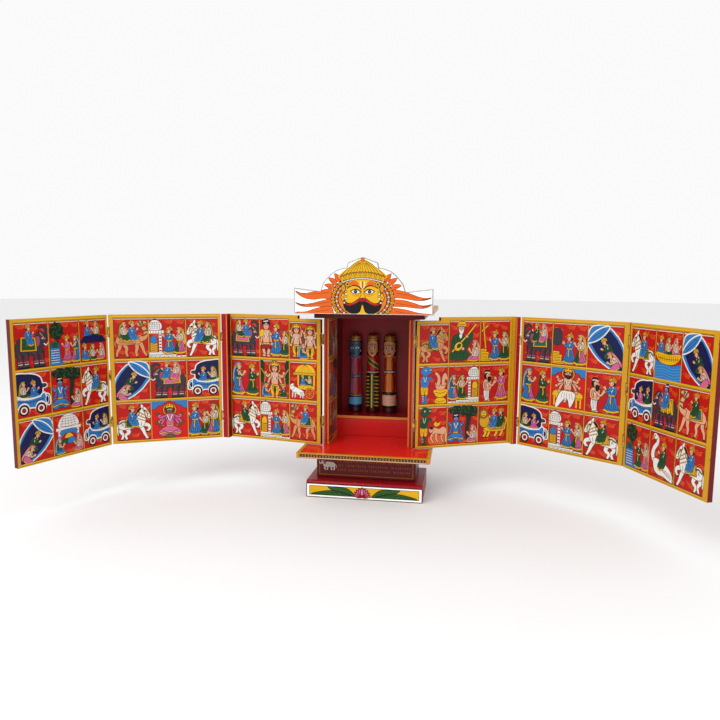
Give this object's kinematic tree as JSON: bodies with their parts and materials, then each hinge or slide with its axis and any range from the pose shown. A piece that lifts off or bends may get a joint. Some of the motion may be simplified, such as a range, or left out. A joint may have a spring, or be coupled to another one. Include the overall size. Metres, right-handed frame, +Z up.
{
  "type": "painted folding shrine box",
  "caption": "Painted wooden storytelling shrine: a cabinet with crest, ledge and plinth, turned dolls on a step inside, and hinged painted leaves that fold out as wings.",
  "frame": {"origin": "centre of the plinth's underside", "axes": "+Z up, the open front faces -Y, +X to the viewer's right"},
  "size_m": [1.1032, 0.419, 0.4526],
  "materials": {
    "red_enamel": "wood under glossy vermilion enamel",
    "maroon_enamel": "wood under dark maroon enamel",
    "white_ground": "wood under white ground with a painted sun",
    "ochre_bordered_picture": "painted pictures with ochre borders, varnished",
    "doll_blue_face": "turned and painted wood",
    "doll_striped_skirt": "turned and painted wood",
    "doll_orange_robe": "turned and painted wood",
    "hinge_brass": "painted over"
  },
  "bodies": {
    "cabinet": {"plinth": "red_enamel", "neck_block": "maroon_enamel", "ledge_board": "red_enamel", "left_side_wall": "red_enamel", "right_side_wall": "red_enamel", "back_panel": "maroon_enamel", "top_board": "maroon_enamel", "canopy_board": "maroon_enamel", "crest_board": "white_ground", "step_riser": "red_enamel", "step_tread": "maroon_enamel", "doll_blue_face": "doll_blue_face", "doll_striped_skirt": "doll_striped_skirt", "doll_orange_robe": "doll_orange_robe", "left_inner_hinge_1_wall_half": "hinge_brass", "left_inner_hinge_2_wall_half": "hinge_brass", "right_inner_hinge_1_wall_half": "hinge_brass", "right_inner_hinge_2_wall_half": "hinge_brass"},
    "left_inner": {"left_inner_leaf": "ochre_bordered_picture", "left_batten": "red_enamel", "left_inner_hinge_1_leaf_half": "hinge_brass", "left_inner_hinge_2_leaf_half": "hinge_brass", "left_middle_hinge_1_batten_half": "hinge_brass", "left_middle_hinge_2_batten_half": "hinge_brass"},
    "left_middle": {"left_middle_leaf": "ochre_bordered_picture", "left_middle_hinge_1_leaf_half": "hinge_brass", "left_middle_hinge_2_leaf_half": "hinge_brass", "left_outer_hinge_1_middle_half": "hinge_brass", "left_outer_hinge_2_middle_half": "hinge_brass", "left_outer_hinge_3_middle_half": "hinge_brass"},
    "left_outer": {"left_outer_leaf": "ochre_bordered_picture", "left_outer_hinge_1_outer_half": "hinge_brass", "left_outer_hinge_2_outer_half": "hinge_brass", "left_outer_hinge_3_outer_half": "hinge_brass"},
    "right_inner": {"right_inner_leaf": "ochre_bordered_picture", "right_batten": "red_enamel", "right_inner_hinge_1_leaf_half": "hinge_brass", "right_inner_hinge_2_leaf_half": "hinge_brass", "right_middle_hinge_1_batten_half": "hinge_brass", "right_middle_hinge_2_batten_half": "hinge_brass"},
    "right_middle": {"right_middle_leaf": "ochre_bordered_picture", "right_middle_hinge_1_leaf_half": "hinge_brass", "right_middle_hinge_2_leaf_half": "hinge_brass", "right_outer_hinge_1_middle_half": "hinge_brass", "right_outer_hinge_2_middle_half": "hinge_brass", "right_outer_hinge_3_middle_half": "hinge_brass"},
    "right_outer": {"right_outer_leaf": "ochre_bordered_picture", "right_outer_hinge_1_outer_half": "hinge_brass", "right_outer_hinge_2_outer_half": "hinge_brass", "right_outer_hinge_3_outer_half": "hinge_brass"}
  },
  "joints": [
    {"name": "left_inner_hinge", "type": "hinge", "parent": "cabinet", "child": "left_inner", "pos_m": [-0.088, -0.02, 0.219], "axis": [0, 0, 1], "range_deg": [-55, 107]},
    {"name": "left_middle_hinge", "type": "hinge", "parent": "left_inner", "child": "left_middle", "pos_m": [-0.29788, -0.00692, 0.219], "axis": [0, 0, 1], "range_deg": [-36, 131]},
    {"name": "left_outer_hinge", "type": "hinge", "parent": "left_middle", "child": "left_outer", "pos_m": [-0.48426, -0.10148, 0.219], "axis": [0, 0, 1], "range_deg": [-42, 137]},
    {"name": "right_inner_hinge", "type": "hinge", "parent": "cabinet", "child": "right_inner", "pos_m": [0.088, -0.02, 0.219], "axis": [0, 0, -1], "range_deg": [-40, 118]},
    {"name": "right_middle_hinge", "type": "hinge", "parent": "right_inner", "child": "right_middle", "pos_m": [0.28722, 0.0473, 0.219], "axis": [0, 0, -1], "range_deg": [-61, 118]},
    {"name": "right_outer_hinge", "type": "hinge", "parent": "right_middle", "child": "right_outer", "pos_m": [0.45609, -0.07584, 0.219], "axis": [0, 0, -1], "range_deg": [-30, 149]}
  ]
}
